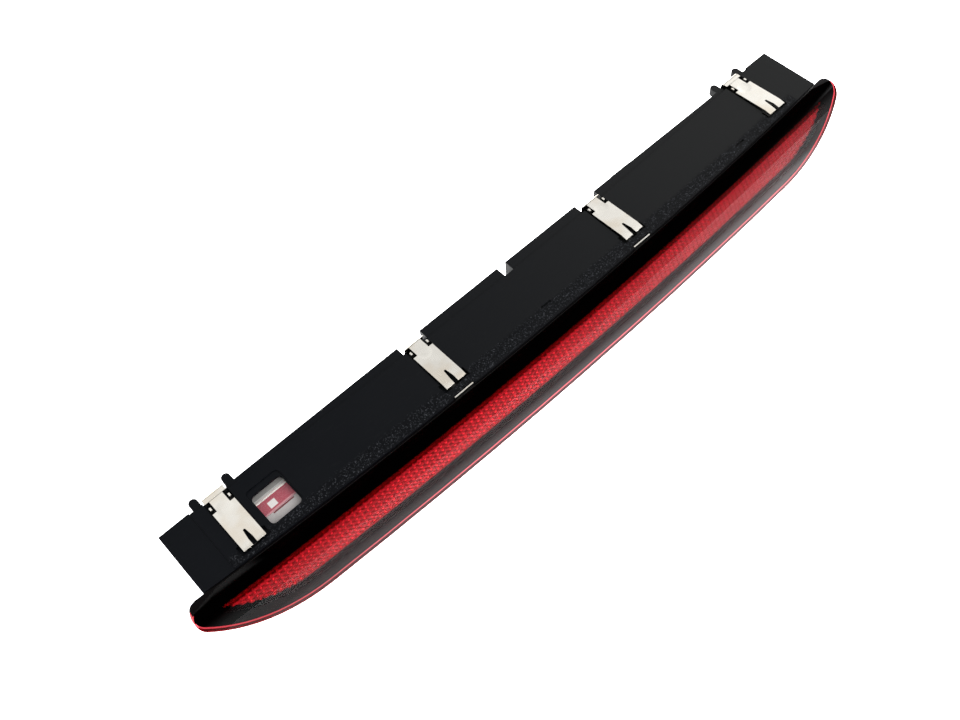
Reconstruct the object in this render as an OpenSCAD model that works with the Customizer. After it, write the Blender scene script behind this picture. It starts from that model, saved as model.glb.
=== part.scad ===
// High-mounted third brake light: a long black housing with four spring clips
// on its top face and a curved red lens across its front.
// X runs along the lamp, -Y points out through the lens, +Z is the clip side.
// The origin is the middle of the box round the lamp, at its lowest level.

/* [Housing] */
// Half of the housing's length
half_len = 240.5; // [239:0.5:241]
// Height of the housing's flat top face
top_z = 32.5; // [32.3:0.1:32.7]
// Straight rear edge of the housing
rear_y = 33.6; // [33.2:0.2:34]
// Housing wall thickness
wall = 2.2; // [2:0.1:2.4]
// How far the housing stands in from the lens outline, below and at the ends
inset = 6; // [5.5:0.25:6.5]
// Rear edge of the raised top panel at mid length
fold_y = 25.3; // [25:0.1:25.6]
// Radius in plan of that rear edge
fold_r = 3850; // [3700:50:4000]

/* [Lens] */
// Radius of the lens profile, seen from the end
lens_r = 100; // [99.8:0.1:100.2]
// Distance of the profile centre behind the origin
lens_y = 53.2; // [53:0.1:53.4]
// Depth of the profile centre below the origin
lens_drop = 36.1; // [36:0.1:36.2]
// Distance of the vertical axis that the lens is bowed round
bow_y = 3565; // [3500:5:3600]
// Lens wall thickness
lens_t = 2.4; // [2.2:0.1:2.4]
// Distance from mid length to where the lower edge starts to sweep up
sweep_x = 187; // [186:0.5:187]
// Radius of that sweep
sweep_r = 106; // [105:1:106]
// Radius of the lens tips
tip_r = 6; // [5.9:0.1:6.1]
// Lower edge of the red optic strip
strip_low = 9.2; // [9:0.1:9.4]
// Upper edge of the red optic strip
strip_high = 24.5; // [24.3:0.1:24.6]

/* [Clips] */
// Mid length to the centre of an inner clip
clip_in = 71; // [70:0.5:72]
// Mid length to the centre of an outer clip
clip_out = 206; // [205:0.5:207]
// Front tips of the inner clips at mid length
clip_y = -7.9; // [-8:0.1:-7.8]
// Radius in plan of the line that the clips stand along
clip_bow_r = 6500; // [6300:100:6700]
// Width of a clip
clip_w = 14; // [13.8:0.1:14.2]
// Tip of the tongues to the middle of the flexing neck
clip_len = 35.1; // [34.9:0.1:35.3]
// Thickness of the spring steel
steel = 0.6; // [0.5:0.05:0.6]

/* [Electronics] */
// Number of light-emitting diodes
led_count = 16; // [12:2:16]
// Length of the circuit board
board_len = 440; // [430:2:444]

/* [Hidden] */

fine = 360;             // facets round an ordinary arc
bow_fine = 1440;        // facets round the bow
bow_span = 8.6;         // angle that the bowed parts take
edge_angle = 45;        // slope of the lens at its upper edge
mask_angle = 44.7;      // slope of the mask's upper edge
gap = 0.1;              // clearance between stacked layers
rim_w = 0.7;            // clear rim left round the mask
lens_top = top_z + 2.4; // level that the lens outline reaches, just past its edge
tip_z = 26;             // height of the middle of the tips
shoulder_fall = 10;     // slope from the lens's top edge down to the tips

// Radii of the layers behind the lens, in order
mask_r = lens_r - lens_t - gap;
mask_t = 1.2;
bead_r = mask_r - mask_t - gap;
bead_t = 1.1;
front_r = bead_r - bead_t - gap;
ring_r = front_r - 4;
bar_r = ring_r - 3;

// Levels in the housing
floor_z = inset + wall;
roof_z = top_z - wall;
ledge_z = top_z - 2;
brow_z = 28.1;
mouth_z = 25.8;
end_x = 221.6;
end_drop = 0.5;

// Clips and their seats
clip_xs = [-clip_out, -clip_in, clip_in, clip_out];
seat_z = top_z - 4;
plate_z = seat_z + 0.2;
leaf_z = top_z + 0.2;
leaf_lift = 2;
tip_len = 4;
tip_drop = 0.8;
shoulder = 27.8;
neck_w = 8.4;
slot_w = 1.3;           // half of the slot's width between the tongues' tips
slot_r = 0.7;
slot_end = 9.2;
seat_w = clip_w + 0.9;
slot_front = -6.6;
slot_rear = -5;
tub_w = clip_w + 6;
inner_reach = 36.8;
outer_reach = 39.8;
notch_y = 27;

// Lighting parts
deck_z = strip_high;
board_y = 18.3;
board_t = 1.6;
board_back = board_y + board_t;
lamp_z = 16.4;
led_pitch = (board_len - 24) / led_count;
cup_small = 2.7;
cup_large = 7.4;
cup_len = 45;
flange_back = 14.9;
rib_y = 6.2;
apron_y = 16.1;
screw_z = 21;
screw_xs = [-210.5, -105, 0, 105, 210.5];

// Openings
socket_x = 110;
socket_z = 15;
socket_w = 17.6;
socket_h = 10.6;
vent_x = -110;
vent_z = 17;
pane_x = -183.8;
pane_y = 7.7;
pane_w = 19.6;
pane_d = 20.2;
notch_x = 1.2;

function led_x(i) = (i - (led_count - 1) / 2) * led_pitch;
function clip_front(x) = clip_y + x * x / (2 * clip_bow_r);
function is_inner(x) = abs(x) < (clip_in + clip_out) / 2;

// A box from one corner to the other
module block(a, b) { translate(a) cube(b - a); }

// Extrudes an outline drawn in X and Z from y0 to y1
module along_y(y0, y1) {
    translate([0, y1, 0]) rotate([90, 0, 0]) linear_extrude(y1 - y0) children();
}

// Front-view outline of the lens, or the same outline drawn in from it by low:
// flat along the middle, swept up below and sloped down above to round tips
module outline(low) {
    high = lens_top - low;
    r = sweep_r - low;
    tip = tip_r - low;
    rise = sweep_r - tip_z;
    reach = sqrt(pow(r - tip, 2) - rise * rise);
    lean = r / (r - tip) + 0.02;
    meet = [reach + tip * sin(shoulder_fall), tip_z + tip * cos(shoulder_fall)];
    translate([-sweep_x, low]) square([2 * sweep_x, high - low]);
    for (side = [0, 1]) mirror([side, 0]) translate([sweep_x, 0]) {
        intersection() {
            translate([0, sweep_r]) circle(r, $fn = fine);
            polygon([[0, high], [0, low - 1], [reach, low - 1], [reach * lean, sweep_r - rise * lean],
                     [reach, tip_z], meet, [meet[0] - (high - meet[1]) / tan(shoulder_fall), high]]);
        }
        translate([reach, tip_z]) circle(tip, $fn = fine);
    }
}

// The same outline cut square at the ends of the housing
module box_outline(low, high, ends) {
    intersection() {
        union() {
            translate([-sweep_x, low]) square([2 * sweep_x, high - low]);
            for (side = [0, 1]) mirror([side, 0]) intersection() {
                translate([sweep_x, sweep_r]) circle(sweep_r - low, $fn = fine);
                translate([sweep_x, low]) square([100, high - low]);
            }
        }
        translate([-ends, 0]) square([2 * ends, high]);
    }
}

// Turns a profile drawn round the lens centre through the bow of the lamp
module bowed() {
    translate([0, bow_y, 0]) rotate([0, 0, -90 - bow_span / 2])
        rotate_extrude(angle = bow_span, $fn = bow_fine)
            translate([bow_y - lens_y, -lens_drop]) children();
}

// A bowed layer between two radii, up to a given slope
module layer(outer, thick, angle) {
    bowed() intersection() {
        difference() {
            circle(outer, $fn = fine);
            circle(outer - thick, $fn = fine);
        }
        polygon([[0, 0], [150 * cos(12), 150 * sin(12)], [150 * cos(angle), 150 * sin(angle)]]);
    }
}

// Everything behind a bowed surface of the given radius
module behind(r) {
    bowed() intersection() {
        circle(r, $fn = fine);
        translate([10, 30]) square([r, 45]);
    }
}

// A plate drawn in X and Y, between two heights
module plate(z0, z1) { translate([0, 0, z0]) linear_extrude(z1 - z0) children(); }

// A rectangle with rounded corners, centred
module rounded(w, d, r) {
    square([w - 2 * r, d], center = true);
    square([w, d - 2 * r], center = true);
    for (sx = [-1, 1], sy = [-1, 1])
        translate([sx * (w / 2 - r), sy * (d / 2 - r)]) circle(r, $fn = fine);
}

// A round bar along Y
module pin_y(x, z, y0, y1, r) {
    translate([x, y1, z]) rotate([90, 0, 0]) cylinder(h = y1 - y0, r = r, $fn = fine);
}

// Outer form of the housing, with the brow that meets the lens
module housing_form() {
    intersection() {
        behind(front_r);
        along_y(-60, rear_y) box_outline(inset, top_z, half_len);
    }
    intersection() {
        behind(bead_r);
        block([-half_len, -60, brow_z], [half_len, 0, top_z]);
    }
}

module housing_cavity() {
    intersection() {
        behind(ring_r);
        along_y(-60, 23) box_outline(floor_z, roof_z, half_len - wall);
    }
    along_y(-60, rear_y - wall) box_outline(floor_z, mouth_z, half_len - wall);
    along_y(15, rear_y - wall) box_outline(floor_z, ledge_z - wall, half_len - wall);
}

// Solid left inside the housing round each clip seat, notch and rib
module housing_fill() {
    intersection() {
        behind(front_r);
        union() {
            for (x = clip_xs)
                block([x - tub_w / 2, clip_front(x) - 9, seat_z - 2], [x + tub_w / 2, rear_y - 1, roof_z + 1]);
            for (x = [-clip_in, clip_in])
                block([x - 10.5, notch_y - wall, 18], [x + 10.5, rear_y - 1, roof_z]);
            block([notch_x - 5.5, 24, 11], [notch_x + 5.5, rear_y - 1, roof_z]);
            for (x = [-150, -60, 60, 150])
                block([x - 1.5, -10, floor_z - 1], [x + 1.5, 15, floor_z + 0.5]);
        }
    }
}

// Everything cut into the housing at one clip
module clip_seat(x) {
    y = clip_front(x);
    front = is_inner(x) ? slot_front : -3;
    block([x - seat_w / 2, y - 0.8, seat_z], [x + seat_w / 2, 45, top_z + 1]);
    block([x - seat_w / 2 - 1.5, y - 0.8, seat_z + 1.5], [x + seat_w / 2 + 1.5, y + 5.2, top_z + 1]);
    block([x - seat_w / 2, y + front, seat_z], [x + seat_w / 2, y, seat_z + 1.2]);
    if (is_inner(x)) {
        block([x - seat_w / 2, y + slot_front, seat_z], [x + seat_w / 2, y + slot_rear, top_z + 1]);
        block([x - 8.4, notch_y, 20], [x + 8.4, 45, top_z + 1]);
    }
}

module housing() {
    color("#24272b") difference() {
        union() {
            difference() {
                housing_form();
                housing_cavity();
            }
            housing_fill();
            for (x = [-216.5, -195.5, 195.5, 216.5]) {
                block([x - 2.6, rear_y - 1, 25], [x + 2.6, 37.4, ledge_z]);
                translate([x, 37.4, 25]) cylinder(h = ledge_z - 25, r = 2.6, $fn = fine);
            }
            for (x = [-150, -50, 50, 150])
                block([x - 1.5, 12, 0], [x + 1.5, 30, inset + 1]);
        }
        for (x = clip_xs) clip_seat(x);
        // the step behind the bowed rear edge of the top panel
        intersection() {
            block([-end_x, 20, ledge_z], [end_x, 45, top_z + 1]);
            translate([0, fold_y + fold_r, 0]) cylinder(h = top_z + 1, r = fold_r, $fn = 4 * bow_fine);
        }
        for (side = [-1, 1])
            translate([side * (end_x + 20), 0, top_z - end_drop + 5]) cube([40, 100, 10], center = true);
        block([notch_x - 3.3, 26.2, 14], [notch_x + 3.3, 45, top_z + 1]);
        for (x = [-0.4, 168.8]) block([x - 3.5, -6.1, top_z - 1.4], [x + 3.5, -4.9, top_z + 1]);
        // the viewing window and its bezel
        plate(roof_z - 1, top_z + 1) translate([pane_x, pane_y]) rounded(pane_w, pane_d, 2.5);
        plate(top_z - 0.8, top_z + 1) translate([pane_x, pane_y + 1.7]) rounded(pane_w + 1.6, pane_d + 4.2, 3);
        block([socket_x - socket_w / 2 - 0.2, 30, socket_z - socket_h / 2 - 0.2],
              [socket_x + socket_w / 2 + 0.2, 35, socket_z + socket_h / 2 + 0.2]);
        pin_y(vent_x, vent_z, 30, 35, 2.5);
    }
}

module outer_lens() {
    color("#8a0f1c", 0.8) intersection() {
        layer(lens_r, lens_t, edge_angle);
        along_y(-45, 20) outline(0);
    }
}

module lens_mask() {
    color("#0b0c0d") intersection() {
        layer(mask_r, mask_t, mask_angle);
        along_y(-45, 20) difference() {
            outline(rim_w);
            box_outline(strip_low, strip_high, 300);
        }
    }
}

module optic_strip() {
    color("#c4162c") intersection() {
        layer(mask_r, 2.2, mask_angle);
        along_y(-45, 20) box_outline(strip_low + 0.15, strip_high - 0.15, 300);
    }
}

// Clear optic in front of the reflector, with a flange back over the deck
module inner_optic() {
    color("#e7a3ab") {
        intersection() {
            layer(ring_r, 1.8, mask_angle);
            along_y(-45, 20) box_outline(floor_z + 0.8, deck_z + 1.2, 220);
        }
        intersection() {
            behind(ring_r - 0.5);
            block([-220, -45, deck_z + 0.1], [220, flange_back, deck_z + 1.2]);
        }
        block([-215, rib_y, deck_z + 1], [215, rib_y + 0.8, mouth_z + 0.5]);
    }
}

module reflector_bar() {
    color("#d9dadb") difference() {
        union() {
            intersection() {
                behind(bar_r);
                along_y(-45, board_y - gap) box_outline(floor_z + 0.55, deck_z, 218);
            }
            // apron that rises behind the flange and covers the board's upper edge
            block([-218, apron_y, deck_z - 1], [218, board_y - gap, mouth_z + 0.5]);
            block([-218, apron_y, mouth_z - 0.5], [218, 22.8, mouth_z + 0.5]);
        }
        for (i = [0 : led_count - 1])
            translate([led_x(i), board_y, lamp_z]) rotate([90, 0, 0])
                cylinder(h = cup_len, r1 = cup_small, r2 = cup_large, $fn = fine);
        for (x = screw_xs) pin_y(x, screw_z, board_y - 9, board_y + 1, 1.2);
        // lightening pockets between the cups, open below
        for (i = [0 : led_count - 2])
            block([led_x(i) + led_pitch / 2 - 4, -14, 0], [led_x(i) + led_pitch / 2 + 4, 8, deck_z - 2]);
    }
}

module circuit_board() {
    color("#1f6b43") difference() {
        along_y(board_y, board_back) box_outline(floor_z + 0.6, mouth_z - 0.6, board_len / 2);
        for (x = screw_xs) pin_y(x, screw_z, board_y - 1, board_back + 1, 1.3);
    }
}

module diodes() {
    color("#efe9d2") for (i = [0 : led_count - 1]) {
        block([led_x(i) - 1.7, board_y - 1.9, lamp_z - 1.4], [led_x(i) + 1.7, board_y, lamp_z + 1.4]);
        pin_y(led_x(i), lamp_z, board_y - 2.5, board_y - 1, 1.2);
    }
}

module resistors() {
    color("#17181a") for (i = [0 : led_count - 1])
        block([led_x(i) - 1.6, board_back, 11], [led_x(i) + 1.6, board_back + 0.6, 12.6]);
}

module capacitors() {
    color("#9fa5ab") for (x = [-52, 52, 156]) pin_y(x, 14.5, board_back, board_back + 7, 3);
}

module driver_chips() {
    color("#1b1c1e") for (x = [-18, 18]) {
        block([x - 2.5, board_back + 0.2, 13], [x + 2.5, board_back + 1.8, 17]);
        for (k = [-1.5 : 1 : 1.5])
            block([x + k - 0.2, board_back, 12], [x + k + 0.2, board_back + 0.5, 18]);
    }
}

module board_screws() {
    color("#b9bcc0") for (x = screw_xs) {
        difference() {
            pin_y(x, screw_z, board_back, board_back + 1.7, 2.4);
            block([x - 1.6, board_back + 0.9, screw_z - 0.35], [x + 1.6, board_back + 2, screw_z + 0.35]);
            block([x - 0.35, board_back + 0.9, screw_z - 1.6], [x + 0.35, board_back + 2, screw_z + 1.6]);
        }
        pin_y(x, screw_z, board_y - 8, board_back + 0.5, 1.1);
    }
}

module connector_shell() {
    color("#2b2d30") difference() {
        union() {
            along_y(27, 39.4) translate([socket_x, socket_z]) square([socket_w, socket_h], center = true);
            along_y(34.3, 35.8) translate([socket_x, socket_z]) rounded(22, 15, 2);
        }
        along_y(30.5, 41) translate([socket_x, socket_z]) square([14.2, 7.4], center = true);
        for (k = [-4, 0, 4])
            block([socket_x + k - 0.6, 26, socket_z - 0.6], [socket_x + k + 0.6, 31, socket_z + 0.6]);
    }
}

module connector_pins() {
    color("#c9a24a") for (k = [-4, 0, 4])
        block([socket_x + k - 0.45, board_back, socket_z - 0.45], [socket_x + k + 0.45, 35, socket_z + 0.45]);
}

module connector_seal() {
    color("#3d3f42") along_y(rear_y + 0.05, 34.25) translate([socket_x, socket_z]) difference() {
        rounded(21, 14, 2);
        square([socket_w + 0.3, socket_h + 0.3], center = true);
    }
}

module vent_cap() {
    color("#1e2023") difference() {
        pin_y(vent_x, vent_z, rear_y + 0.05, rear_y + 3, 5);
        pin_y(vent_x, vent_z, rear_y - 1, rear_y + 2, 4);
        block([vent_x - 6, rear_y + 0.9, vent_z - 1], [vent_x + 6, rear_y + 1.9, vent_z + 1]);
        block([vent_x - 1, rear_y + 0.9, vent_z - 6], [vent_x + 1, rear_y + 1.9, vent_z + 6]);
    }
}

module vent_membrane() {
    color("#e4e4e0") pin_y(vent_x, vent_z, rear_y + 0.05, rear_y + 0.4, 3.8);
}

module weld_bead() {
    color("#3a3c3f") intersection() {
        layer(bead_r, bead_t, mask_angle);
        along_y(-45, 20) difference() {
            box_outline(inset + 0.1, brow_z - 0.1, half_len - 0.1);
            box_outline(floor_z, mouth_z, half_len - wall);
        }
    }
}

// Foam under the lens flange, along the bottom and round the lower ends
module edge_gasket() {
    color("#33363a") intersection() {
        layer(bead_r, 3, 42);
        along_y(-45, 20) difference() {
            box_outline(inset - 2.8, mouth_z, 236);
            box_outline(inset - gap, mouth_z + 1, 300);
        }
    }
}

module window_pane() {
    color("#dfe6ea", 0.35) plate(roof_z - 1.1, roof_z - gap)
        translate([pane_x, pane_y]) rounded(pane_w + 3.6, pane_d + 4, 3);
}

// The fixed part of a clip: lower plate, foot, hooks, rear bend and rear pad
module clip_base(x) {
    half = clip_w / 2 - 0.3;
    reach = is_inner(x) ? inner_reach : outer_reach;
    front = is_inner(x) ? slot_front + 0.3 : 1.6;
    color("#d8d5cf") translate([x, clip_front(x), 0]) {
        difference() {
            union() {
                block([-5.4, front, plate_z], [5.4, 25, plate_z + steel]);
                block([-half, 24.5, plate_z], [half, reach, plate_z + steel]);
            }
            block([-3.8, 2, plate_z - 1], [3.8, 17, plate_z + 1]);
            for (side = [-1, 1]) translate([side * 6, 0, plate_z]) {
                block([-1.8, 26, -1], [1.8, 29.4, 1]);
                block([-1.8, 31.2, -1], [1.8, 36, 1]);
            }
        }
        if (is_inner(x)) block([-half, front, plate_z], [half, front + 0.8, top_z - 0.4]);
        block([-half, reach - steel, 23], [half, reach, leaf_z + steel]);
        block([-half, clip_len + 0.15, leaf_z], [half, reach, leaf_z + steel]);
        for (side = [-1, 1]) {
            block([side * 6 - 0.6, 30, plate_z], [side * 6 + 0.6, 30.6, leaf_z + 1.1]);
            block([side * 6 - 0.6, 30, leaf_z + 0.5], [side * 6 + 0.6, 32, leaf_z + 1.1]);
        }
    }
}

// Plan of the sprung part: two tongues, then a neck
module leaf_plan() {
    difference() {
        union() {
            translate([-clip_w / 2, -1]) square([clip_w, shoulder + 1]);
            translate([-neck_w / 2, shoulder - 1]) square([neck_w, clip_len - shoulder + 1]);
        }
        polygon([[-slot_w, -2], [slot_w, -2], [slot_w, tip_len], [slot_r, slot_end],
                 [-slot_r, slot_end], [-slot_w, tip_len]]);
        translate([0, slot_end]) circle(slot_r, $fn = fine);
    }
}

// The sprung part of a clip, with its tips bent down
module clip_leaf(x) {
    color("#e6e2da") translate([x, clip_front(x) + clip_len, leaf_z + steel / 2]) rotate([-leaf_lift, 0, 0])
        translate([0, -clip_len, -steel / 2]) intersection() {
            plate(-3, 3) leaf_plan();
            rotate([90, 0, 90]) linear_extrude(clip_w + 2, center = true)
                polygon([[0, -tip_drop], [tip_len, 0], [clip_len, 0],
                         [clip_len, steel], [tip_len, steel], [0, steel - tip_drop]]);
        }
}

module clip_base_1() { clip_base(clip_xs[0]); }
module clip_base_2() { clip_base(clip_xs[1]); }
module clip_base_3() { clip_base(clip_xs[2]); }
module clip_base_4() { clip_base(clip_xs[3]); }
module clip_leaf_1() { clip_leaf(clip_xs[0]); }
module clip_leaf_2() { clip_leaf(clip_xs[1]); }
module clip_leaf_3() { clip_leaf(clip_xs[2]); }
module clip_leaf_4() { clip_leaf(clip_xs[3]); }

housing();
outer_lens();
lens_mask();
optic_strip();
inner_optic();
reflector_bar();
circuit_board();
diodes();
resistors();
capacitors();
driver_chips();
board_screws();
connector_shell();
connector_pins();
connector_seal();
vent_cap();
vent_membrane();
weld_bead();
edge_gasket();
window_pane();
clip_base_1();
clip_base_2();
clip_base_3();
clip_base_4();
clip_leaf_1();
clip_leaf_2();
clip_leaf_3();
clip_leaf_4();
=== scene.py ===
import math

import bpy
from mathutils import Matrix, Vector


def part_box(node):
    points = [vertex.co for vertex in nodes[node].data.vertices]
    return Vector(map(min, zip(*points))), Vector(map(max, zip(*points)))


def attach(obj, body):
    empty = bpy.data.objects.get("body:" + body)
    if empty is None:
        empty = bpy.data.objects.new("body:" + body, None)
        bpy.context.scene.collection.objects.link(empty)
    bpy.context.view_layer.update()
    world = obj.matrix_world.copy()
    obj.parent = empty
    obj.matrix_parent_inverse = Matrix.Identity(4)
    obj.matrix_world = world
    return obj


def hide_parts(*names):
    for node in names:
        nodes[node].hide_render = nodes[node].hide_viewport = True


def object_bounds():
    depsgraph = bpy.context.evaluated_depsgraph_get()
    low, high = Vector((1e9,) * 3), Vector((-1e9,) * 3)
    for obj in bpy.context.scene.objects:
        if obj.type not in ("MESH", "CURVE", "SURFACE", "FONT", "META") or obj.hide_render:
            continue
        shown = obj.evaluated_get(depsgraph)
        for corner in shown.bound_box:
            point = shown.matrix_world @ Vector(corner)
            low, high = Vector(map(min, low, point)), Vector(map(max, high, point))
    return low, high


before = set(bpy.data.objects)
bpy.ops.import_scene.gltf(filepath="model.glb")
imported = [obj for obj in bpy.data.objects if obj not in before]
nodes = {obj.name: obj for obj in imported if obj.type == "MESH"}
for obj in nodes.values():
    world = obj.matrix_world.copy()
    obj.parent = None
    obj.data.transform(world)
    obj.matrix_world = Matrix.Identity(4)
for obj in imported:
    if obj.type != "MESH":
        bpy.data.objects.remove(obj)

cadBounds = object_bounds()
mm = 0.001


# Camera: above the left end, looking along the lamp towards its right end

cameraSetup = {
    "place": (-0.22802, -0.23666, 0.51549),
    "azimuth": -37.318,
    "elevation": 59.015,
    "roll": -6.634,
    "lens": 38.303,
}


def aimCamera(setup):
    azimuth, elevation, roll = (math.radians(setup[k]) for k in ("azimuth", "elevation", "roll"))
    ahead = Vector((-math.sin(azimuth) * math.cos(elevation),
                    math.cos(azimuth) * math.cos(elevation), -math.sin(elevation)))
    right = ahead.cross(Vector((0, 0, 1))).normalized()
    turn = Matrix.Rotation(-roll, 3, ahead)
    right = turn @ right
    up = right.cross(ahead)
    bpy.ops.object.camera_add(location=setup["place"])
    camera = bpy.context.object
    camera.rotation_euler = Matrix((right, up, -ahead)).transposed().to_euler()
    camera.data.lens = setup["lens"]
    camera.data.sensor_width = 36
    camera.data.clip_start = 0.01
    bpy.context.scene.camera = camera
    print("camera set")


# Selecting, applying and copying

def makeActive(piece):
    bpy.ops.object.select_all(action="DESELECT")
    piece.select_set(True)
    bpy.context.view_layer.objects.active = piece


def applyModifier(piece, kind, **settings):
    makeActive(piece)
    modifier = piece.modifiers.new(kind.lower(), kind)
    for name, value in settings.items():
        setattr(modifier, name, value)
    bpy.ops.object.modifier_apply(modifier=modifier.name)


def smooth(piece, angle=30):
    makeActive(piece)
    bpy.ops.object.shade_smooth_by_angle(angle=math.radians(angle))


def bevelEdges(piece, width, segments=2, angle=30):
    applyModifier(piece, "BEVEL", width=width, segments=segments, limit_method="ANGLE",
                  angle_limit=math.radians(angle), use_clamp_overlap=False, miter_outer="MITER_ARC")


def flattenShading(piece):
    # bevelled corners take up the turn of the light, and the flat faces stay flat
    applyModifier(piece, "WEIGHTED_NORMAL", weight=100, keep_sharp=True)


def solidCopy(node, name, flatness=0.4):
    # a merged copy of a CAD node, with its flat faces joined up again
    piece = bpy.data.objects.new(name, nodes[node].data.copy())
    bpy.context.scene.collection.objects.link(piece)
    makeActive(piece)
    bpy.ops.object.mode_set(mode="EDIT")
    bpy.ops.mesh.select_all(action="SELECT")
    bpy.ops.mesh.customdata_custom_splitnormals_clear()
    bpy.ops.mesh.remove_doubles(threshold=0.004 * mm)
    bpy.ops.mesh.dissolve_limited(angle_limit=math.radians(flatness), use_dissolve_boundaries=False)
    bpy.ops.object.mode_set(mode="OBJECT")
    return piece


def standFor(piece, node, body):
    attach(piece, body)
    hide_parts(node)


# Shader maths: a wire is one output socket, and sums on wires add Math nodes

class Wire:
    def __init__(self, tree, socket):
        self.tree, self.socket = tree, socket

    def node(self, kind, settings, inputs, output=0):
        return addNode(self.tree, kind, settings, inputs, output)

    def maths(self, operation, *others):
        return self.node("ShaderNodeMath", {"operation": operation}, dict(enumerate((self, *others))))

    def __add__(self, other):
        return self.maths("ADD", other)

    def __radd__(self, other):
        return self.maths("ADD", other)

    def __sub__(self, other):
        return self.maths("SUBTRACT", other)

    def __rsub__(self, other):
        return self.node("ShaderNodeMath", {"operation": "SUBTRACT"}, {0: other, 1: self})

    def __mul__(self, other):
        return self.maths("MULTIPLY", other)

    def __rmul__(self, other):
        return self.maths("MULTIPLY", other)

    def __truediv__(self, other):
        return self.maths("DIVIDE", other)

    def between(self, low, high, start=0.0, end=1.0):
        # a smooth step from start to end while the value goes from low to high
        return self.node("ShaderNodeMapRange", {"interpolation_type": "SMOOTHSTEP"},
                         {0: self, 1: low, 2: high, 3: start, 4: end})


def addNode(tree, kind, settings, inputs, output=0):
    made = tree.nodes.new(kind)
    for name, value in settings.items():
        if name == "stops":
            ramp = made.color_ramp.elements
            while len(ramp) < len(value):
                ramp.new(0.5)
            for stop, (place, colour) in zip(ramp, value):
                stop.position = place
                stop.color = (*colour, 1)
        else:
            setattr(made, name, value)
    for name, value in inputs.items():
        if isinstance(value, Wire):
            tree.links.new(value.socket, made.inputs[name])
        else:
            made.inputs[name].default_value = value
    return Wire(tree, made.outputs[output])


class Finish:
    # one material: constants go straight on the shader, what varies is fed in
    def __init__(self, name, **constants):
        self.material = bpy.data.materials.new(name)
        self.material.use_nodes = True
        self.tree = self.material.node_tree
        self.shader = self.tree.nodes["Principled BSDF"]
        for socket, value in constants.items():
            self.shader.inputs[socket.replace("_", " ")].default_value = value
        self.place = self.node("ShaderNodeTexCoord", {}, {}, "Object")
        split = self.node("ShaderNodeSeparateXYZ", {}, {0: self.place})
        outputs = split.socket.node.outputs
        self.x, self.y, self.z = (Wire(self.tree, socket) for socket in outputs)

    def node(self, kind, settings, inputs, output=0):
        return addNode(self.tree, kind, settings, inputs, output)

    def nearEnds(self):
        # from nothing at the middle of the lamp to one at both ends
        return (self.x * self.x).between(0.15 ** 2, 0.235 ** 2)

    def noise(self, size, detail=2.0, rough=0.5, stretch=(1, 1, 1)):
        # size is the width of one blotch, in metres
        place = self.place
        if stretch != (1, 1, 1):
            place = self.node("ShaderNodeMapping", {}, {"Vector": place, "Scale": stretch})
        return self.node("ShaderNodeTexNoise", {},
                         {"Vector": place, "Scale": 1 / size, "Detail": detail, "Roughness": rough})

    def mix(self, factor, first, second):
        inputs = {0: factor, 6: first, 7: second}
        for key in (6, 7):
            if not isinstance(inputs[key], Wire):
                inputs[key] = (*inputs[key], 1)
        return self.node("ShaderNodeMix", {"data_type": "RGBA"}, inputs, 2)

    def bump(self, height, strength, distance):
        return self.node("ShaderNodeBump", {},
                         {"Height": height, "Strength": strength, "Distance": distance})

    def feed(self, **inputs):
        for socket, wire in inputs.items():
            self.tree.links.new(wire.socket, self.shader.inputs[socket.replace("_", " ")])
        return self.material


def paint(piece, material):
    if not piece.material_slots:
        piece.data.materials.append(material)
    for slot in piece.material_slots:
        slot.material = material


# Floor and light

studio = {
    "floorSize": 1.3,
    "nearGlow": 4.2,        # the floor close to the lamp, as its lower lens mirrors it
    "farGlow": 1.04,
    "nearReach": 0.046,
    "farReach": 0.072,
    "ceiling": 0.95,
    "rear": 0.5,
    "front": 0.012,
    "below": 0.95,          # the far side of the room, down by the floor
}

# soft patches of the sky: the way each lies, its half angle in degrees and how much light it adds
patches = {
    "softBox": ((0.22, -0.62, 0.75), 16, 6.0),
    "window": ((0.88, 0.30, 0.36), 20, 0.8),
    "dimCorner": ((0.28, 0.41, 0.87), 12, -0.24),
    "dimZenith": ((0.02, -0.02, 1.0), 13, -0.34),
}


def makeFloor():
    bpy.ops.mesh.primitive_plane_add(size=studio["floorSize"], location=(0, 0, cadBounds[0][2] - 0.2 * mm))
    floor = bpy.context.object
    floor.name = "studio_floor"
    finish = Finish("paleFloor", Base_Color=(0.9, 0.9, 0.9, 1), Roughness=0.9, Emission_Strength=1.0)
    near = finish.y.between(-studio["farReach"], -studio["nearReach"])
    leftEnd = finish.x.between(-0.02, -0.25, 1.0, 0.45)
    rightEnd = finish.x.between(0.17, 0.27, 1.0, 0.75)
    shade = finish.noise(0.4) * 0.02
    level = studio["farGlow"] + near * (studio["nearGlow"] * leftEnd * rightEnd - studio["farGlow"]) + shade
    glow = finish.node("ShaderNodeCombineXYZ", {}, {0: level, 1: level, 2: level})
    paint(floor, finish.feed(Emission_Color=glow))
    print("floor laid")


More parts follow.
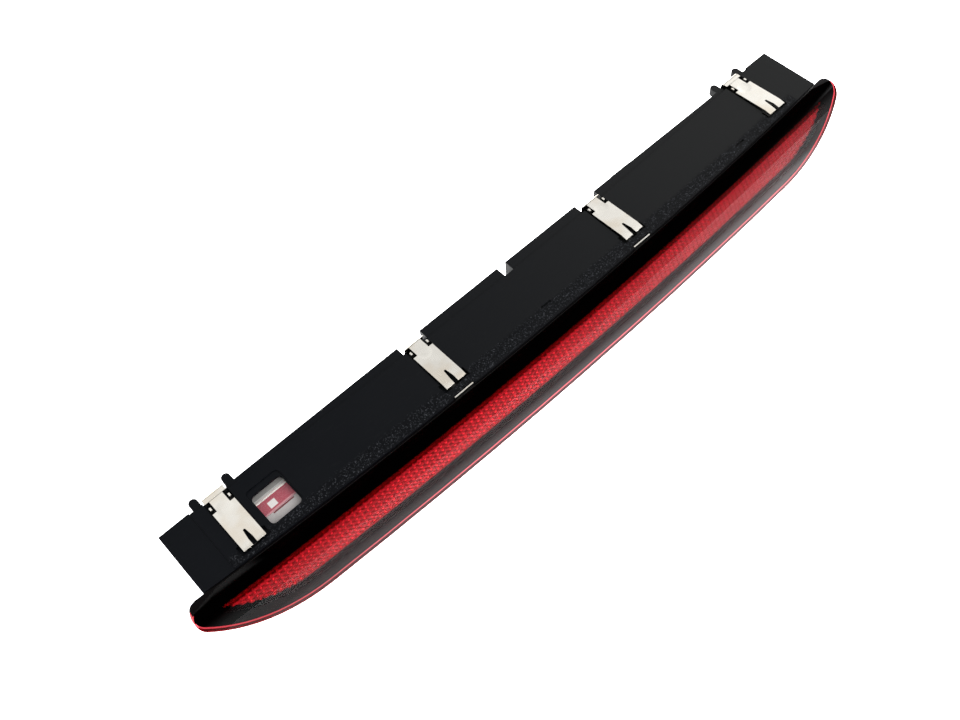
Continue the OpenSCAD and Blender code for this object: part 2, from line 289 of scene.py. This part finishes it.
def makeSky():
    # a wide soft ceiling, dark low down on the lens side so that the gloss stays black
    world = bpy.data.worlds.new("softStudio")
    world.use_nodes = True
    bpy.context.scene.world = world
    tree = world.node_tree
    way = addNode(tree, "ShaderNodeTexCoord", {}, {}, "Generated")
    split = addNode(tree, "ShaderNodeSeparateXYZ", {}, {0: way}).socket.node.outputs
    x, y, z = (Wire(tree, socket) for socket in split)
    front = (y - 0.25 * x).between(0.15, -0.35)
    darkness = z.between(-0.03, 0.17, studio["below"], studio["front"])
    low = studio["rear"] + front * (darkness - studio["rear"])
    light = low + z.between(0.50, 0.66) * (studio["ceiling"] - low)
    for towards, halfAngle, glow in patches.values():
        lean = addNode(tree, "ShaderNodeVectorMath", {"operation": "DOT_PRODUCT"},
                       {0: way, 1: Vector(towards).normalized()}, "Value")
        edges = [math.cos(math.radians(halfAngle * k)) for k in (1.25, 0.7)]
        light = light + lean.between(*edges, 0.0, glow)
    seen = addNode(tree, "ShaderNodeLightPath", {}, {}, "Is Camera Ray")
    strength = light + seen * (1.4 - light)
    background = tree.nodes["Background"]
    background.inputs["Color"].default_value = (1, 1, 1, 1)
    tree.links.new(strength.socket, background.inputs["Strength"])
    view = bpy.context.scene.view_settings
    view.view_transform = "Standard"
    view.look = "None"
    print("sky lit")


# Housing

housingSizes = {
    "edge": 0.2 * mm,
    "grain": 0.8 * mm,
    "grainLine": 3.0 * mm,      # how far the grain runs behind the clips' front tips
    "grainFade": 3.0 * mm,
    "wander": 4.0 * mm,         # how unevenly the grain ends
    "bowRadius": 6500 * mm,
}
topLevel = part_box("housing")[1].z


def blackPlastic():
    finish = Finish("satinBlackPlastic", Specular_IOR_Level=0.07)
    tipFront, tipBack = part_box("clip_leaf_2")
    diameter = 2 * housingSizes["bowRadius"]
    grainEnd = tipFront.y - tipBack.x ** 2 / diameter + housingSizes["grainLine"]
    line = finish.y - finish.x * finish.x / diameter
    wander = finish.noise(3 * mm, 3) * housingSizes["wander"]
    onTop = finish.z.between(topLevel - 0.2 * mm, topLevel - 0.1 * mm)
    grained = (line + wander).between(grainEnd + housingSizes["grainFade"], grainEnd) * onTop
    grain = finish.noise(housingSizes["grain"], 3, 0.75)
    speckle = grain.between(0.54, 0.70) * grained
    cloud = finish.noise(30 * mm, 4)
    scuffs = finish.noise(0.8 * mm, 4, 0.6, (0.12, 1, 1)).between(0.56, 0.75)
    plain = finish.mix(cloud, (0.0026, 0.0034, 0.0050), (0.0044, 0.0052, 0.0068))
    # painted sheen: the housing is painted lighter towards its right end, where the light grazes it
    paintedSheen = finish.mix(finish.x.between(-0.20, 0.24), plain, (0.0165, 0.0170, 0.0172))
    shaded = finish.mix(grained * 0.6, paintedSheen, (0.0015, 0.0018, 0.0026))
    speckled = finish.mix(speckle, shaded, (0.075, 0.08, 0.09))
    worn = finish.mix(scuffs * 0.2, speckled, (0.016, 0.017, 0.018))
    rough = 0.42 + cloud * 0.10 + grained * 0.16 - scuffs * 0.08
    fine = finish.noise(0.18 * mm, 2)
    height = fine * 0.10 + grain * grained
    return finish.feed(Base_Color=worn, Roughness=rough, Normal=finish.bump(height, 0.5, 0.12 * mm))


def makeHousing():
    piece = solidCopy("housing", "housing_moulding")
    bevelEdges(piece, housingSizes["edge"], 2)
    smooth(piece, 35)
    flattenShading(piece)
    paint(piece, blackPlastic())
    standFor(piece, "housing", "lamp")
    print("housing", len(piece.data.polygons), "faces")


# Lens, mask and the pillow optics behind them

lensSizes = {
    "edge": 0.25 * mm,
    "thickness": 2.5 * mm,
    "radius": 100 * mm,
    "centreBack": 53.2 * mm,
    "centreDrop": 36.1 * mm,
    "bowCentre": 3565 * mm,
    "sweepX": 187 * mm,
    "sweepR": 106 * mm,
    "tipR": 6 * mm,
    "tipZ": 26 * mm,
    "rim": 0.7 * mm,
    "lipFrom": 30.5 * mm,
    "lipFacing": 1.36,      # the curved front looks up and forward by more than this at the top
    "rimFacing": 0.62,      # front and back both look along y by at least this
    "frontRise": 0.33,      # the front looks up by at least this
    "frontLean": 0.15,      # and sideways by no more than this
}
stripLow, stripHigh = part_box("optic_strip")

pillowSizes = {
    "rows": 7,
    "pitch": 3.7 * mm,
    "rise": 0.38 * mm,
    "crown": 0.68 * mm,
    "depth": 1.3 * mm,
    "gap": 0.1 * mm,
}


def redLens():
    finish = Finish("clearRedLens", Transmission_Weight=1.0, IOR=1.28)
    along = (finish.x.maths("ABSOLUTE") - lensSizes["sweepX"]).maths("MAXIMUM", 0.0)
    fall = lensSizes["sweepR"] - finish.z
    arcLevel = lensSizes["sweepR"] - (along * along + fall * fall).maths("SQRT")   # above the lower edge
    swing = lensSizes["sweepR"] - lensSizes["tipR"]
    tipRise = lensSizes["sweepR"] - lensSizes["tipZ"]
    tipOut = math.sqrt(swing ** 2 - tipRise ** 2)
    outward = along - tipOut
    upward = finish.z - lensSizes["tipZ"]
    tipLevel = lensSizes["tipR"] - (outward * outward + upward * upward).maths("SQRT")
    inTip = (outward * (tipRise / swing) + upward * (tipOut / swing)).between(-0.3 * mm, 0.3 * mm)
    level = arcLevel + inTip * (tipLevel - arcLevel)
    rim = (level.between(lensSizes["rim"] + 0.3 * mm, lensSizes["rim"] - 0.1 * mm)
           * finish.z.between(lensSizes["lipFrom"], lensSizes["lipFrom"] - 3 * mm))
    strip = (arcLevel.between(stripLow.z - 0.5 * mm, stripLow.z + 0.1 * mm)
             * finish.z.between(stripHigh.z + 0.5 * mm, stripHigh.z - 0.1 * mm))
    cloud = finish.noise(25 * mm, 2)
    clear = finish.mix(cloud, (0.86, 0.36, 0.40), (0.90, 0.40, 0.44))
    deep = finish.mix(strip, (0.12, 0.006, 0.009), clear)
    rimTint = finish.mix(finish.nearEnds(), (0.80, 0.34, 0.36), (0.85, 0.10, 0.13))
    tint = finish.mix(rim, deep, rimTint)
    haze = finish.noise(0.6 * mm, 3).between(0.6, 0.85)
    return finish.feed(Base_Color=tint, Roughness=haze * 0.02)


def paintedRimGlow():
    # the red of the plastic with a painted glow: the moulded edge gathers light and shows as a bright line,
    # painted here in pink
    finish = Finish("paintedRimGlow", Specular_IOR_Level=0.35)
    cloud = finish.noise(9 * mm, 3)
    fine = finish.noise(0.5 * mm, 2)
    middle = finish.mix(cloud, (0.42, 0.105, 0.12), (0.56, 0.17, 0.18))
    base = finish.mix(finish.nearEnds(), middle, (0.72, 0.05, 0.065))
    return finish.feed(Base_Color=base, Roughness=0.25 + fine * 0.1,
                       Normal=finish.bump(fine, 0.1, 0.03 * mm))


def glossMask(name, gloss, rough):
    finish = Finish(name, Specular_IOR_Level=gloss)
    cloud = finish.noise(12 * mm, 3)
    peel = finish.noise(1.2 * mm, 2)
    base = finish.mix(cloud, (0.0012, 0.0006, 0.0007), (0.0022, 0.0012, 0.0014))
    return finish.feed(Base_Color=base, Roughness=rough + peel * 0.12,
                       Normal=finish.bump(peel, 0.1, 0.05 * mm))


def redOptic():
    finish = Finish("redPillowOptic", Metallic=0.6, Specular_IOR_Level=0.2)
    cloud = finish.noise(6 * mm, 3)
    base = finish.mix(cloud, (0.38, 0.022, 0.036), (0.50, 0.034, 0.052))
    fine = finish.noise(0.5 * mm, 2)
    return finish.feed(Base_Color=base, Roughness=0.10 + fine * 0.10,
                       Normal=finish.bump(fine, 0.1, 0.05 * mm))


def ontoLens(along, up, height, start, radius):
    # wraps a flat point onto the bowed lens form, start being the slope of the lowest row
    slope = start + up / radius
    reach = lensSizes["bowCentre"] - lensSizes["centreBack"] + (radius + height) * math.cos(slope)
    turn = along / (lensSizes["bowCentre"] - lensSizes["centreBack"] + radius * math.cos(slope))
    return Vector((reach * math.sin(turn), lensSizes["bowCentre"] - reach * math.cos(turn),
                   (radius + height) * math.sin(slope) - lensSizes["centreDrop"]))


def onePillow(width, depth):
    bpy.ops.object.select_all(action="DESELECT")
    bpy.ops.mesh.primitive_plane_add(size=1)
    pillow = bpy.context.object
    bpy.ops.object.mode_set(mode="EDIT")
    bpy.ops.transform.resize(value=(width, depth, 1))
    bpy.ops.mesh.subdivide(number_cuts=4)
    lifts = ((0.4, pillowSizes["rise"]), (0.2, pillowSizes["crown"] - pillowSizes["rise"]))
    for share, lift in lifts:      # all but the outer ring, then the middle alone
        bpy.ops.mesh.select_all(action="DESELECT")
        bpy.ops.object.mode_set(mode="OBJECT")
        for spot in pillow.data.vertices:
            spot.select = abs(spot.co.x) < share * width and abs(spot.co.y) < share * depth
        bpy.ops.object.mode_set(mode="EDIT")
        bpy.ops.transform.translate(value=(0, 0, lift))
    bpy.ops.object.mode_set(mode="OBJECT")
    return pillow


def makePillows():
    radius = lensSizes["radius"] - lensSizes["thickness"] - pillowSizes["crown"] - pillowSizes["gap"]
    slopes = [math.asin((z + lensSizes["centreDrop"]) / radius) for z in (stripLow.z, stripHigh.z)]
    depth = (slopes[1] - slopes[0]) * radius / pillowSizes["rows"]
    columns = 2 * math.ceil(stripHigh.x / pillowSizes["pitch"]) + 1
    sheet = onePillow(pillowSizes["pitch"], depth)
    sheet.name = "pillow_optic"
    for step, count in (((1, 0, 0), columns), ((0, 1, 0), pillowSizes["rows"])):
        applyModifier(sheet, "ARRAY", count=count, use_relative_offset=True,
                      relative_offset_displace=step, use_merge_vertices=True, merge_threshold=0.02 * mm)
    bpy.ops.object.mode_set(mode="EDIT")
    bpy.ops.mesh.select_all(action="SELECT")
    bpy.ops.transform.translate(value=(-(columns - 1) / 2 * pillowSizes["pitch"], depth / 2, 0))
    bpy.ops.mesh.extrude_region_move(TRANSFORM_OT_translate={"value": (0, 0, -pillowSizes["depth"])})
    bpy.ops.mesh.select_all(action="SELECT")
    bpy.ops.mesh.normals_make_consistent(inside=False)
    bpy.ops.object.mode_set(mode="OBJECT")
    for spot in sheet.data.vertices:
        spot.co = ontoLens(*spot.co, slopes[0], radius)
    window = solidCopy("optic_strip", "strip_window")
    applyModifier(sheet, "BOOLEAN", operation="INTERSECT", object=window, solver="EXACT")
    bpy.data.objects.remove(window)
    smooth(sheet, 50)
    paint(sheet, redOptic())
    standFor(sheet, "optic_strip", "lamp")
    print("pillow optics", columns, "columns", len(sheet.data.polygons), "faces")


def makeLens():
    piece = solidCopy("outer_lens", "lens_shell")
    bevelEdges(piece, lensSizes["edge"], 2, 40)
    smooth(piece, 20)
    paint(piece, redLens())
    for extra in (glossMask("blackLip", 0.06, 0.30), paintedRimGlow()):
        piece.data.materials.append(extra)
    for face in piece.data.polygons:
        turned = face.normal.z < lensSizes["frontRise"] or abs(face.normal.x) > lensSizes["frontLean"]
        if face.center.z > lensSizes["lipFrom"]:      # the lip along the top is backed with black
            face.material_index = int(face.normal.z - face.normal.y < lensSizes["lipFacing"])
        elif (face.normal.y < 0 and turned) or abs(face.normal.y) < lensSizes["rimFacing"]:
            face.material_index = 2
    standFor(piece, "outer_lens", "lamp")
    paint(nodes["lens_mask"], glossMask("blackMask", 0.05, 0.25))
    print("lens", len(piece.data.polygons), "faces")


# Spring clips

clipSizes = {
    "edge": 0.13 * mm,
    "bend": 2.4 * mm,
    "steel": 0.6 * mm,
    "dimple": 3.2 * mm,
    "dimpleBack": 26.6 * mm,
}
seatShade = {"from": 30.2 * mm, "to": 31.2 * mm}


def nickelSteel(x, y):
    # x and y are the middle of the clip's front tips
    finish = Finish("nickelSpringSteel", Metallic=1.0)
    cloud = finish.noise(5 * mm, 4, 0.55)
    stain = finish.noise(14 * mm, 2).between(0.42, 0.68)
    brushed = finish.noise(0.25 * mm, 3, 0.6, (1, 0.08, 1))
    clean = finish.mix(cloud, (0.86, 0.83, 0.76), (0.97, 0.94, 0.87))
    warm = finish.mix(stain * 0.55, clean, (0.80, 0.70, 0.56))
    paintedSeatShade = finish.z.between(seatShade["from"], seatShade["to"])      # painted shade: what sits down in the seat is painted near black
    colour = finish.mix(paintedSeatShade, (0.035, 0.034, 0.033), warm)
    across = (finish.x - x) / clipSizes["dimple"]
    along = (finish.y - y - clipSizes["dimpleBack"]) / clipSizes["dimple"]
    spread = across * across + along * along
    dimple = spread.between(0.0, 2.4)
    rough = 0.16 + cloud * 0.12 + brushed * 0.08
    height = brushed * 0.008 + cloud * 0.02 + dimple
    return finish.feed(Base_Color=colour, Roughness=rough, Normal=finish.bump(height, 0.6, 0.30 * mm))


def makeClip(number):
    leafNode = f"clip_leaf_{number}"
    baseNode = f"clip_base_{number}"
    front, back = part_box(leafNode)
    steel = nickelSteel((front.x + back.x) / 2, front.y)
    leaf = solidCopy(leafNode, f"clip_spring_{number}")
    bevelEdges(leaf, clipSizes["edge"], 2)
    smooth(leaf)
    flattenShading(leaf)
    paint(leaf, steel)
    standFor(leaf, leafNode, f"leaf_{number}")
    base = solidCopy(baseNode, f"clip_frame_{number}")
    roundBend(base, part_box(baseNode)[1].y)
    bevelEdges(base, clipSizes["edge"], 2, 50)
    smooth(base, 40)
    flattenShading(base)
    paint(base, steel)
    standFor(base, baseNode, "lamp")


def roundBend(base, back):
    # rounds the outside and the inside of the bend at the rear of the clip
    makeActive(base)
    top = max(spot.co.z for spot in base.data.vertices if abs(spot.co.y - back) < 0.05 * mm)
    insideBend = clipSizes["bend"] - clipSizes["steel"]
    for drop, offset in ((0, clipSizes["bend"]), (clipSizes["steel"], insideBend)):
        bpy.ops.object.mode_set(mode="EDIT")
        bpy.ops.mesh.select_mode(type="EDGE")
        bpy.ops.mesh.select_all(action="DESELECT")
        bpy.ops.object.mode_set(mode="OBJECT")
        for edge in base.data.edges:
            ends = [base.data.vertices[i].co for i in edge.vertices]
            edge.select = all(abs(end.z + drop - top) < 0.05 * mm and abs(end.y + drop - back) < 0.05 * mm
                              for end in ends)
        bpy.ops.object.mode_set(mode="EDIT")
        bpy.ops.mesh.bevel(offset=offset, segments=6, affect="EDGES")
        bpy.ops.object.mode_set(mode="OBJECT")


# Finishes for the parts inside

flangeSizes = {
    "pinkFrom": 6.6 * mm,                           # pink behind this, frosted in front
    "top": 25.7 * mm,
    "ribLeft": (-189.2 * mm, -188.6 * mm),          # where each side of the rib fades in
    "ribRight": (-175.2 * mm, -176.2 * mm),
    "shadowFront": (4.9 * mm, 5.3 * mm),
    "shadowBack": (6.2 * mm, 5.9 * mm),
    "gleamFront": (6.0 * mm, 6.3 * mm),
    "gleamBack": (7.6 * mm, 7.2 * mm),
    "glint": (-186 * mm, 10.4 * mm),
    "glintWidth": 2.3 * mm,
    "glintDepth": 2.0 * mm,
}
# where the painted highlight along the bar's front ends
barSizes = {"highlightTo": 17.4 * mm, "highlightFade": 0.3 * mm}


def mouldedPlastic(name, colour, rough, grain=0.3 * mm):
    finish = Finish(name, Specular_IOR_Level=0.4)
    cloud = finish.noise(8 * mm, 3)
    fine = finish.noise(grain, 2)
    lighter = [min(1, c * 1.25 + 0.004) for c in colour]
    return finish.feed(Base_Color=finish.mix(cloud, colour, lighter), Roughness=rough + fine * 0.1,
                       Normal=finish.bump(fine, 0.25, 0.06 * mm))


def metal(name, colour, rough):
    finish = Finish(name, Metallic=1.0)
    cloud = finish.noise(2 * mm, 3)
    fine = finish.noise(0.15 * mm)
    darker = [c * 0.8 for c in colour]
    return finish.feed(Base_Color=finish.mix(cloud, darker, colour), Roughness=rough + fine * 0.15,
                       Normal=finish.bump(fine, 0.15, 0.05 * mm))


def clearPane():
    finish = Finish("clearPane", Alpha=0.07, Specular_IOR_Level=0.6)
    cloud = finish.noise(4 * mm)
    base = finish.mix(cloud, (0.30, 0.30, 0.31), (0.315, 0.315, 0.3255))
    return finish.feed(Base_Color=base, Roughness=0.04 + cloud * 0.04)


def greenBoard():
    finish = Finish("solderMaskBoard", Specular_IOR_Level=0.5)
    weave = finish.noise(0.4 * mm)
    tracks = finish.noise(3 * mm, 1, 0.5, (0.3, 1, 2)).between(0.5, 0.52)
    base = finish.mix(weave, (0.015, 0.10, 0.05), (0.03, 0.16, 0.08))
    return finish.feed(Base_Color=finish.mix(tracks * 0.5, base, (0.05, 0.24, 0.12)),
                       Roughness=0.32 + weave * 0.12, Normal=finish.bump(tracks, 0.3, 0.04 * mm))


def opticFlange():
    # frosted in front of the rib, pink behind it, with a painted glint on the pink, a painted shadow and
    # gleam along the rib and a painted highlight on the rib's top
    finish = Finish("pinkFlange", Specular_IOR_Level=0.3)
    cloud = finish.noise(4 * mm, 3)
    frost = finish.noise(0.35 * mm, 2)
    pink = finish.mix(cloud, (0.42, 0.045, 0.075), (0.56, 0.085, 0.125))
    grey = finish.mix(cloud, (0.50, 0.47, 0.46), (0.66, 0.62, 0.60))
    behindRib = finish.y.between(flangeSizes["pinkFrom"] - 0.4 * mm, flangeSizes["pinkFrom"])
    # painted highlight: the top of the rib is painted a lighter pink
    paintedRibTopHighlight = finish.z.between(flangeSizes["top"] + 0.15 * mm, flangeSizes["top"] + 0.45 * mm)
    floor = finish.mix(behindRib, grey, pink)
    glintX = (finish.x - flangeSizes["glint"][0]) / flangeSizes["glintWidth"]
    glintY = (finish.y - flangeSizes["glint"][1]) / flangeSizes["glintDepth"]
    glint = (glintX * glintX).between(1.2, 0.8) * (glintY * glintY).between(1.3, 0.8)
    lit = finish.mix(glint * 0.95, floor, (0.98, 0.96, 0.93))
    alongRib = finish.x.between(*flangeSizes["ribLeft"]) * finish.x.between(*flangeSizes["ribRight"])
    shadow, gleam = (alongRib * finish.y.between(*flangeSizes[line + "Front"])
                     * finish.y.between(*flangeSizes[line + "Back"]) for line in ("shadow", "gleam"))
    gleaming = finish.mix(gleam * 0.8, lit, (0.92, 0.55, 0.56))
    shadowed = finish.mix(shadow, gleaming, (0.16, 0.004, 0.012))
    ridge = finish.mix(paintedRibTopHighlight, shadowed, (0.72, 0.30, 0.34))
    return finish.feed(Base_Color=ridge, Roughness=0.28 + frost * 0.2,
                       Normal=finish.bump(frost, 0.2, 0.05 * mm))


def metallisedBar():
    finish = Finish("metallisedBar", Metallic=0.35, Specular_IOR_Level=0.5)
    cloud = finish.noise(5 * mm, 3)
    fine = finish.noise(0.3 * mm, 2)
    # painted highlight: the front edge of the bar is painted near white
    edge = finish.y.between(barSizes["highlightTo"], barSizes["highlightTo"] - barSizes["highlightFade"])
    grey = finish.mix(cloud, (0.50, 0.48, 0.45), (0.60, 0.58, 0.55))
    return finish.feed(Base_Color=finish.mix(edge, grey, (0.93, 0.92, 0.88)),
                       Roughness=0.26 + fine * 0.12, Normal=finish.bump(fine, 0.15, 0.05 * mm))


def finishInside():
    paint(nodes["inner_optic"], opticFlange())
    paint(nodes["reflector_bar"], metallisedBar())
    paint(nodes["circuit_board"], greenBoard())
    paint(nodes["diodes"], mouldedPlastic("diodeResin", (0.75, 0.68, 0.42), 0.3))
    paint(nodes["resistors"], mouldedPlastic("resistorBody", (0.02, 0.02, 0.022), 0.4))
    paint(nodes["driver_chips"], mouldedPlastic("chipResin", (0.016, 0.016, 0.018), 0.5))
    paint(nodes["capacitors"], metal("canAluminium", (0.72, 0.73, 0.75), 0.25))
    paint(nodes["board_screws"], metal("screwSteel", (0.62, 0.62, 0.60), 0.3))
    paint(nodes["connector_shell"], mouldedPlastic("connectorPlastic", (0.018, 0.019, 0.021), 0.42))
    paint(nodes["connector_pins"], metal("pinBrass", (0.78, 0.58, 0.26), 0.22))
    paint(nodes["connector_seal"], mouldedPlastic("sealRubber", (0.012, 0.012, 0.013), 0.7))
    paint(nodes["vent_cap"], mouldedPlastic("ventPlastic", (0.015, 0.016, 0.018), 0.45))
    paint(nodes["vent_membrane"], mouldedPlastic("ventFelt", (0.75, 0.74, 0.70), 0.85))
    paint(nodes["weld_bead"], mouldedPlastic("weldBead", (0.02, 0.02, 0.022), 0.3))
    paint(nodes["edge_gasket"], mouldedPlastic("foamGasket", (0.012, 0.012, 0.013), 0.85, 0.6 * mm))
    paint(nodes["window_pane"], clearPane())
    print("inside finished")


aimCamera(cameraSetup)
makeFloor()
makeSky()
makeHousing()
makeLens()
makePillows()
for number in range(1, 5):
    makeClip(number)
print("clips made")
finishInside()
